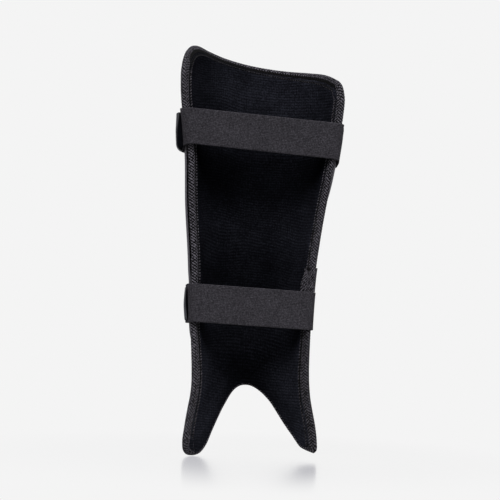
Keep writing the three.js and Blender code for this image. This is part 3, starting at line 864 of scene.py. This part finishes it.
def edge_binding():
    nodes, bottom = outline_nodes(TAPE_STEP)
    along, away = outline_frame(nodes)
    shares = tape_shares(nodes, bottom)
    section, skin = tape_section()
    rings = np.stack([tape_point(nodes, away, shares, *point) for point in section], axis=1)
    uv = strip_uv(rings, looped=True, anchor=skin // 2)
    outer = rings[:, :skin]
    normal = unit(np.cross(np.gradient(outer, axis=1), along[:, None]))
    fade = np.sin(np.linspace(0, math.pi, skin)) ** 0.25
    relief = TWILL_RELIEF * twill(uv[:-1, :skin, 0], uv[:-1, :skin, 1]) * fade
    wander = TAPE_WANDER * ripple(outer, 14, 5)
    rings[:, :skin] = outer + normal * (relief + wander)[..., None]
    piece = finish(loft("binding_tape", rings, uv, looped=True, sharp=75), "binding")
    # The mark carries the painted shade of the groove and lip.
    mark(piece, "shaded", seam_shade(nodes, section, skin))
    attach(piece, "guard")
    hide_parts("edge_binding")


def stitches(name, centres, along, up):
    """Short rounded threads that dip in at both ends."""
    layers, sides = 7, 6
    turn = np.arange(sides)[:, None] * 2 * math.pi / sides
    round_about = np.cross(along, up)
    round_about = unit(round_about)[:, None] * np.cos(turn) + up[:, None] * np.sin(turn)
    rings = []
    for s in np.linspace(-1, 1, layers):
        thick = STITCH_RADIUS * math.sqrt(max(1 - s ** 2, 0.02))
        base = centres + along * (s * STITCH_LENGTH / 2) - up * (STITCH_RADIUS * 1.3 * s ** 2)
        rings.append(base[:, None] + thick * round_about)
    faces = []
    size = layers * sides
    for first in range(0, len(centres) * size, size):
        last = first + size - sides
        for ring in range(first, last, sides):
            for j in range(sides):
                a, b = ring + j, ring + (j + 1) % sides
                faces.append([a, a + sides, b + sides, b])
        faces += [list(range(first, first + sides)), list(range(last, last + sides))]
    return finish(build(name, np.stack(rings, axis=1).reshape(-1, 3), faces), "thread")


def binding_stitches():
    nodes, bottom = outline_nodes(STITCH_STEP)
    along, away = outline_frame(nodes)
    shares = tape_shares(nodes, bottom)
    every = round(STITCH_PITCH / STITCH_STEP)
    for name, sign in (("leg_side_stitches", -1), ("front_stitches", 1)):
        centres = tape_point(nodes, away, shares, STITCH_PAST, sign * (PAD_HALF + STITCH_LIFT))
        up = sign * outward(*nodes.T)
        piece = stitches(name, centres[::every], along[::every], up[::every])
        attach(piece, "guard")


# ---- Hard shell ----
def shell_offset(across, height):
    """From the pad's middle surface to the shell's inner face."""
    near_edge = smoothstep(0.62, 0.8, np.abs(across))
    ridge = RIDGE_HEIGHT * np.exp(-(across / RIDGE_WIDTH) ** 2) * smoothstep(70, 120, height)
    spring = SHELL_SPRING * smoothstep(0.84, 0.945, -across) * plateau(height, *SPRING_HEIGHTS)
    return PAD_HALF + SHELL_STAND + SHELL_EDGE_LIFT * near_edge + spring + ridge


def shell_outer(across, height):
    return shell_offset(across, height) + SHELL_THICKNESS


def shell_rim():
    """The shell's outline laid flat, in millimetres."""
    column, height = np.concatenate(four_sides(shell_bottom, shell_top, 300, 200)).T
    across = column * np.where(column < 0, shell_sides[LEFT](height), shell_sides[RIGHT](height))
    rim = joined(across * FLAT_WIDTH, height)
    return round_off(even_loop(rim, rim, 1.0), 3.5)


def slot_rim(centre, grow):
    """A round-ended upright slot, made larger all round."""
    radius = VENT_WIDTH / 2 + grow
    half = (VENT_LENGTH - VENT_WIDTH) / 2
    turn = np.linspace(0, math.pi, 12)
    top = joined(radius * np.cos(turn), half + radius * np.sin(turn))
    return np.concatenate([top, -top]) + centre


def shrink(loop, distance):
    """An anticlockwise loop moved inwards by a distance."""
    along = unit(np.roll(loop, -1, axis=0) - np.roll(loop, 1, axis=0))
    return loop + joined(-along[:, 1], along[:, 0]) * distance


def inside(points, loop):
    """Which points lie inside a closed outline."""
    x, y = points[:, 0, None], points[:, 1, None]
    x0, y0 = loop[:, 0], loop[:, 1]
    x1, y1 = np.roll(x0, -1), np.roll(y0, -1)
    crosses = (y0 > y) != (y1 > y)
    reach = x0 + (x1 - x0) * (y - y0) / np.where(y1 == y0, 1, y1 - y0)
    return (crosses & (x < reach)).sum(axis=1) % 2 == 1


def on_shell(points, rim, centres, margin=0.0):
    """Which flat points lie inside the rim and outside the vents by a margin."""
    held = inside(points, shrink(rim, margin))
    for centre in centres:
        held &= ~inside(points, slot_rim(centre, margin))
    return held


def loop_edges(loops):
    """Pairs of neighbours round loops whose points are numbered in turn."""
    edges, start = [], 0
    for loop in loops:
        edges += [(start + k, start + (k + 1) % len(loop)) for k in range(len(loop))]
        start += len(loop)
    return edges


def shell_edges(rim, centres):
    """The rim and vents in steps over their rounded edges, and how far each point has dropped."""
    loops, drops = [], []
    for share in EDGE_STEPS:
        loops.append(shrink(rim, share * SHELL_EDGE))
        loops += [slot_rim(centre, share * SHELL_EDGE) for centre in centres]
        drops += [SHELL_EDGE * (1 - math.sqrt(1 - (1 - share) ** 2))] * (1 + len(centres))
    return loops, np.repeat(drops, [len(loop) for loop in loops])


def outer_shell():
    rim = shell_rim()
    beside = VENT_ACROSS * FLAT_WIDTH
    centres = [np.array([side * beside, height]) for height in VENT_HEIGHTS for side in (LEFT, RIGHT)]
    loops, drop = shell_edges(rim, centres)
    grid = joined(*np.meshgrid(np.arange(-80, 80, SHELL_GRID), np.arange(60, 315, SHELL_GRID))).reshape(-1, 2)
    grid = grid[on_shell(grid, rim, centres, SHELL_EDGE + SHELL_MARGIN)]
    points = np.concatenate(loops + [grid])
    drop = np.append(drop, np.zeros(len(grid)))
    flat, _, faces, *_ = delaunay_2d_cdt([Vector(p) for p in points], loop_edges(loops), [], 0, 1e-5)
    count = len(points)
    assert len(flat) == count
    faces = np.array(faces)
    faces = faces[on_shell(points[faces].mean(axis=1), rim, centres)]
    across, height = points[:, 0] / FLAT_WIDTH, points[:, 1]
    inner = offset(across, height, shell_offset(across, height) + drop * 0.5)
    outer = offset(across, height, shell_outer(across, height) - drop)
    walls = [[a, b, b + count, a + count] for a, b in loop_edges(loops[:1 + len(centres)])]
    everything = faces.tolist() + (faces + count)[:, ::-1].tolist() + walls
    piece = build("moulded_shell", np.concatenate([inner, outer]), everything, sharp=60)
    finish(piece, "shell")
    # Painted highlight on the cut edges of the rim and vents.
    on_edge = np.arange(count) < count - len(grid)
    mark(piece, "painted_edge_highlight", np.concatenate([on_edge, on_edge]))
    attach(piece, "guard")
    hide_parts("outer_shell")


# ---- Straps ----
def strap_height(strap, side, across_strap):
    """The height on one wall, some millimetres from the strap's centre line."""
    lean = (strap["right"] - strap["left"]) / (right_edge(strap["right"]) - left_edge(strap["left"]))
    centre = strap["left"] if side == LEFT else strap["right"]
    return centre + across_strap * math.cos(math.atan(lean))


def seat(side, inset, height):
    """How far out a strap's inner face sits: on the binding, then on the shell."""
    reach = pace(side, height)
    shell_start = (1 - shell_sides[side](height)) * reach
    on_binding = PAD_HALF + BINDING_SLACK + BINDING_THICKNESS + GAP
    on_shell = shell_outer(side * (1 - inset / reach), height) + GAP
    return mix(on_binding, on_shell, smoothstep(shell_start - 7, shell_start - 1, inset))


def pad_rise(inset):
    """Extra stand-off where a tab rides over its hook and loop patches."""
    return (2 * PATCH_THICKNESS + GAP) * smoothstep(2, LOOP_START - 0.5, inset)


def wall_ring(strap, side, inset, section, rise):
    """One section of a strip along a side wall, some millimetres forward of the bound edge."""
    width, distance = section.T
    drop = strap["drop"] * (smoothstep(0, DROP_REACH, inset) + inset * 0.01)
    height = strap_height(strap, side, width) - drop
    across = side * (1 - inset / pace(side, height))
    return offset(across, height, seat(side, inset, height) + rise + distance)


def corner_ring(strap, side, angle, section):
    """One section of a strap's turn round the bound edge; the angle is 0 on the wall."""
    width, distance = section.T
    height = strap_height(strap, side, width)
    out = outward(np.full_like(height, side), height)
    back = unit(np.array([0.0, -1.0, 0.0]) + out * out[:, 1:2])
    reach_out = (seat(side, 0.0, height) + distance) * math.cos(angle)
    reach_back = (CORNER_ROUND + distance - STRAP_THICKNESS / 2) * math.sin(angle)
    return middle(side, height) + out * reach_out[:, None] + back * reach_back[:, None]


def strap_half(strap, side):
    """Sections of half a strap, from its end on the wall to the middle of the back."""
    section = rounded_section(strap["width"], STRAP_THICKNESS, columns=26)
    bead = BEAD_HEIGHT * np.exp(-((np.abs(section[:, 0]) - strap["width"] / 2 + 1) / BEAD_WIDTH) ** 2)
    section[:, 1] += bead * np.sign(section[:, 1] - STRAP_THICKNESS / 2)
    length = TAB_LENGTH if side == LEFT else ANCHOR_LENGTH
    walls = []
    for inset in np.linspace(length, 1, WALL_STATIONS):
        walls.append(wall_ring(strap, side, inset, section, pad_rise(inset) if side == LEFT else 0.0))
    turns = [corner_ring(strap, side, angle, section) for angle in np.linspace(0, math.pi / 2, TURN_STATIONS)]
    ends = [corner_ring(strap, end, math.pi / 2, section) for end in (RIGHT, LEFT)]
    shares = np.linspace(1 if side == LEFT else 0, 0.5, WALL_STATIONS)[1:]
    back = [mix(*ends, share) for share in shares]
    return np.stack(walls + turns + back)


def turn_points(strap, side):
    """Where a strap's turn round one edge meets the wall and the back, in the row frame."""
    centre = np.array([[0.0, STRAP_THICKNESS / 2]])
    angles = math.radians(TURN_FROM), math.radians(TURN_TO)
    return [Vector(placed(corner_ring(strap, side, angle, centre))[0]) for angle in angles]


def strap_webbing(name, strap):
    for side, word in ((RIGHT, "right"), (LEFT, "left")):
        rings = strap_half(strap, side)
        piece = finish(loft(f"{name}_strap_{word}", rings, sharp=70), "webbing")
        on_wall, on_back = turn_points(strap, side)
        if side == RIGHT:
            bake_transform(piece)
            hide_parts(f"{name}_strap_anchor")
        else:
            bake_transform(piece)
            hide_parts(f"{name}_strap_band", f"{name}_strap_tab")


def round_ended(low, high, count):
    """Insets along a strip with round ends, and the share of its full width that it has at each."""
    turn = PATCH_ROUND * (1 - np.cos(np.linspace(0, math.pi / 2, 8)))
    straight = np.linspace(low + PATCH_ROUND, high - PATCH_ROUND, count)
    insets = np.concatenate([low + turn[:-1], straight, high - turn[-2::-1]])
    near_end = np.clip(np.minimum(insets - low, high - insets) / PATCH_ROUND, 0, 1)
    return zip(insets, 1 - PATCH_ROUND * (1 - np.sqrt(1 - (1 - near_end) ** 2)) / (STRAP_WIDTH / 2))


def wall_patch(name, strap, side, reach, width, bottom, thickness):
    """A flat patch with round corners lying along a side wall, between two insets."""
    rings = []
    for inset, share in round_ended(*reach, 14):
        section = rounded_section(width * share, thickness, columns=12)
        rings.append(wall_ring(strap, side, inset, section, bottom))
    return loft(name, np.stack(rings))


def pull_grip(name, strap):
    """A rubber grip over the tab: painted shade on its end at the turn, ribbed for the fingers, its free end
    lifting.
    """
    half = strap["grip_width"] / 2
    crown = through(strap["crown"])
    rings, shade = [], []
    for inset, share in round_ended(GRIP_START, GRIP_END, 60):
        free = max(inset - TAB_LENGTH, 0) / (GRIP_END - TAB_LENGTH)
        section = rounded_section(2 * half * share, GRIP_EDGE, columns=24)
        over = section[:, 1] > GRIP_EDGE * 0.7
        end_fade = smoothstep(-0.5, 1.5, inset - GRIP_START) * smoothstep(0, 3, GRIP_END - inset)
        ribs = RIB_HEIGHT * plateau(inset, *RIB_REACH) * math.cos(inset * 2 * math.pi / RIB_PITCH)
        inner = 1 - smoothstep(half - 4, half - 2, np.abs(section[:, 0]))
        swell = crown(section[:, 0] / half) * (1 - free * 0.6) * end_fade
        section[:, 1] += over * (swell + ribs * inner)
        section[:, 0] += strap["grip_shift"] - strap["drop"] * (1 - smoothstep(0, DROP_REACH, inset))
        rise = GAP + pad_rise(inset) + STRAP_THICKNESS + GRIP_CURL * free ** 2
        rings.append(wall_ring(strap, LEFT, inset, section, rise))
        # Painted shade: the end face and the grip's under skin near the turn go black.
        shade.append(1 - np.where(over, smoothstep(1.6, 3.2, inset), smoothstep(6, 8.5, inset)))
    piece = finish(loft(f"{name}_grip", np.stack(rings)), "soft_rubber")
    mark(piece, "shaded", np.stack(shade))
    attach(piece, f"{name}_tab")
    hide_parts(f"{name}_pull_grip")


def strap_patches(name, strap):
    loops = wall_patch(f"{name}_loops", strap, LEFT, (LOOP_START, LOOP_END), LOOP_WIDTH, 0.0, PATCH_THICKNESS)
    finish(loops, "loop")
    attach(loops, "guard")
    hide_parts(f"{name}_loop_patch")

    on_loops, thinner = PATCH_THICKNESS + GAP, PATCH_THICKNESS - GAP / 2
    hooks = wall_patch(f"{name}_hooks", strap, LEFT, (HOOK_START, HOOK_END), HOOK_WIDTH, on_loops, thinner)
    finish(hooks, "hook")
    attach(hooks, f"{name}_tab")
    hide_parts(f"{name}_hook_patch")

    on_strap, reach = GAP + STRAP_THICKNESS, (PLATE_START, PLATE_END)
    plate = wall_patch(f"{name}_plate", strap, RIGHT, reach, PLATE_WIDTH, on_strap, PLATE_THICKNESS)
    finish(plate, "soft_rubber")
    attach(plate, "guard")
    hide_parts(f"{name}_anchor_plate")


def rivets(name):
    """The pressed rivets keep their CAD shapes and get a worn coating."""
    for end in ("top", "bottom"):
        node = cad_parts[f"{name}_rivet_{end}"]
        node.data.materials.clear()
        node.data.materials.append(FINISHES["rivet"])


# ---- The tape's end, folded over the right-hand edge ----
FOLD_FROM, FOLD_TO = 133, 152.5
FOLD_THICKNESS = 0.75
# Past the edge where the painted shadow near the fold's curling top lies.
FOLD_SHADE = (-4.6, -3.4, 0.4, 1.6)
FOLD_STATIONS = 44
FOLD_WEAVE = 1.4  # how much finer the squashed weave looks there
FOLD_PATH = [(-6.6, -0.9), (-5.9, -1.7), (-3, -2.1), (0, -1.7), (1.8, 0.4), (2.4, 3.1), (1.7, 5.7),
             (0.2, 7.6), (-1, 7.6)]  # past the edge, above the pad's leg face


def binding_fold():
    """The tape's own end, wrapped round the edge: flat at its foot, curling off at its top, with a painted
    shadow near its top.
    """
    heights = np.linspace(FOLD_FROM, FOLD_TO, FOLD_STATIONS)
    rise = (heights - FOLD_FROM) / (FOLD_TO - FOLD_FROM)
    nodes = joined(np.ones_like(heights), heights)
    along = unit(np.gradient(middle(*nodes.T), axis=0))
    away = unit(np.cross(outward(*nodes.T), along))
    reach = mix(0.98, 0.68, smoothstep(0, 0.9, rise)) * mix(1, 0.7, smoothstep(0.88, 1, rise))
    bulge = 0.9 * np.sin(math.pi * np.clip(rise * 1.1, 0, 1)) + 1.6 * smoothstep(0.78, 0.98, rise)
    path = smooth_run(FOLD_PATH, FOLD_STATIONS)
    facing = unit(joined(-np.gradient(path[:, 1]), np.gradient(path[:, 0])))

    def skin(past, above):
        """One line of the fold's skin, up the edge."""
        past = past * reach if past < 0 else np.full(len(nodes), past)
        distance = above - PAD_HALF - bulge * smoothstep(2, -1, above)
        return near_outline(nodes, away, past, pinched(distance, kept_share(np.maximum(-past, 0), 0)))

    rings, shade = [], []
    for (past, above), (out_past, out_above) in zip(path, facing):
        outer = skin(past - FOLD_THICKNESS * out_past, above - FOLD_THICKNESS * out_above)
        rings.append(np.concatenate([skin(past, above), outer[::-1]]))
        # Painted shadow near the fold's curling top.
        dark = 0.9 * smoothstep(0.8, 0.9, rise) * plateau(past, *FOLD_SHADE)
        shade.append(np.concatenate([dark, dark[::-1]]))
    rings = np.stack(rings)
    piece = finish(loft("tape_end", rings, strip_uv(rings) * FOLD_WEAVE), "binding")
    mark(piece, "shaded", np.stack(shade))
    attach(piece, "guard")
    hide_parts("binding_fold")


# ---- Camera, light and floor ----
CAMERA_TURN = math.radians(-5.5)
CAMERA_TILT = math.radians(-2)
CAMERA_ROLL = math.radians(2)
CAMERA_DISTANCE = 1.4
CAMERA_TARGET = Vector((-0.0022, 0, 0.1685))
CAMERA_LENS = 122.8
BACKDROP = 0.905
AMBIENT = 0.2
FLOOR_MIRROR = 0.42
FLOOR_MIRROR_RIGHT = 0.64  # the table is glossier under the right-hand prong
FLOOR_TINT = (1, 1, 0.93)
FLOOR_BLUR = 0.2
FLOOR_FADE = (0.05, 0.3)  # how far from the guard the mirroring fades out, in metres
SUN_HEIGHT = 44
SUN_SOFTNESS = 30


def camera():
    turn, tilt, roll = CAMERA_TURN, CAMERA_TILT, CAMERA_ROLL
    view = Vector((-math.sin(turn) * math.cos(tilt), math.cos(turn) * math.cos(tilt), -math.sin(tilt)))
    right = view.cross(Vector((0, 0, 1))).normalized()
    up = right.cross(view)
    leaned_right = right * math.cos(roll) + up * math.sin(roll)
    leaned_up = up * math.cos(roll) - right * math.sin(roll)
    data = bpy.data.cameras.new("camera")
    data.lens = CAMERA_LENS
    data.clip_end = 200
    eye = in_scene("camera", data)
    turned = Matrix((leaned_right, leaned_up, -view)).transposed().to_4x4()
    eye.matrix_world = Matrix.Translation(CAMERA_TARGET - view * CAMERA_DISTANCE) @ turned
    bpy.context.scene.camera = eye


def sun(name, heading, strength):
    """Broad even light; its heading in degrees is 0 behind the camera and positive on its right."""
    data = bpy.data.lights.new(name, "SUN")
    data.energy = strength
    data.angle = math.radians(SUN_SOFTNESS)
    lamp = in_scene(name, data)
    lamp.visible_glossy = False
    turn, rise = math.radians(heading), math.radians(SUN_HEIGHT)
    source = Vector((math.sin(turn) * math.cos(rise), -math.cos(turn) * math.cos(rise), math.sin(rise)))
    lamp.rotation_euler = source.to_track_quat("Z", "Y").to_euler()


def seen_and_thrown(tree, seen, thrown):
    """Light that is `seen` directly or mirrored, and `thrown` on matt surfaces."""
    rays = tree.nodes.new("ShaderNodeLightPath")
    dim = tree.nodes.new("ShaderNodeMath")
    dim.operation = "MULTIPLY_ADD"
    dim.inputs[1].default_value = thrown - seen
    dim.inputs[2].default_value = seen
    tree.links.new(rays.outputs["Is Diffuse Ray"], dim.inputs[0])
    return dim.outputs[0]


def world_light():
    """A bright even backdrop that throws only part of its light on the guard."""
    world = bpy.data.worlds.new("studio")
    bpy.context.scene.world = world
    world.use_nodes = True
    background = world.node_tree.nodes["Background"]
    background.inputs[0].default_value = (1, 1, 1, 1)
    world.node_tree.links.new(seen_and_thrown(world.node_tree, BACKDROP, AMBIENT), background.inputs[1])


def pale_floor():
    """A table under the backdrop's own even light, which mirrors softly what stands on it."""
    paint = Paint("pale_floor", roughness=0.5)
    away = paint.node("VectorMath", {0: paint.place()}, operation="LENGTH").outputs["Value"]
    polish = paint.fade(paint.xyz()[0], -0.03, 0.045, FLOOR_MIRROR, FLOOR_MIRROR_RIGHT)
    mirror = paint.times(polish, paint.fade(away, *FLOOR_FADE, 1.0, 0.0))
    shown = paint.node("VectorMath", {0: FLOOR_TINT, "Scale": mirror}, operation="SCALE").outputs[0]
    rest = paint.node("VectorMath", {0: PLAIN, 1: shown}, operation="SUBTRACT").outputs[0]
    glow = paint.node("Emission", {"Color": rest, "Strength": seen_and_thrown(paint.tree, BACKDROP, AMBIENT)})
    gloss = paint.node("BsdfGlossy", {"Color": shown, "Roughness": FLOOR_BLUR})
    both = paint.node("AddShader", {0: glow.outputs[0], 1: gloss.outputs[0]})
    paint.tree.links.new(both.outputs[0], paint.tree.nodes["Material Output"].inputs["Surface"])
    bpy.ops.mesh.primitive_circle_add(vertices=96, radius=2, fill_type="NGON")
    floor = bpy.context.object
    floor.name = "floor"
    floor.data.materials.append(paint.material)


def studio():
    world_light()
    pale_floor()
    sun("left_light", -42, 2.4)
    sun("right_light", 42, 2.3)
    settings = bpy.context.scene.view_settings
    settings.view_transform = "Standard"
    settings.look = "None"


camera()
studio()
pad()
outer_shell()
edge_binding()
binding_stitches()
binding_fold()
for strap_name, strap_sizes in STRAPS.items():
    strap_webbing(strap_name, strap_sizes)
    strap_patches(strap_name, strap_sizes)
    pull_grip(strap_name, strap_sizes)
    rivets(strap_name)
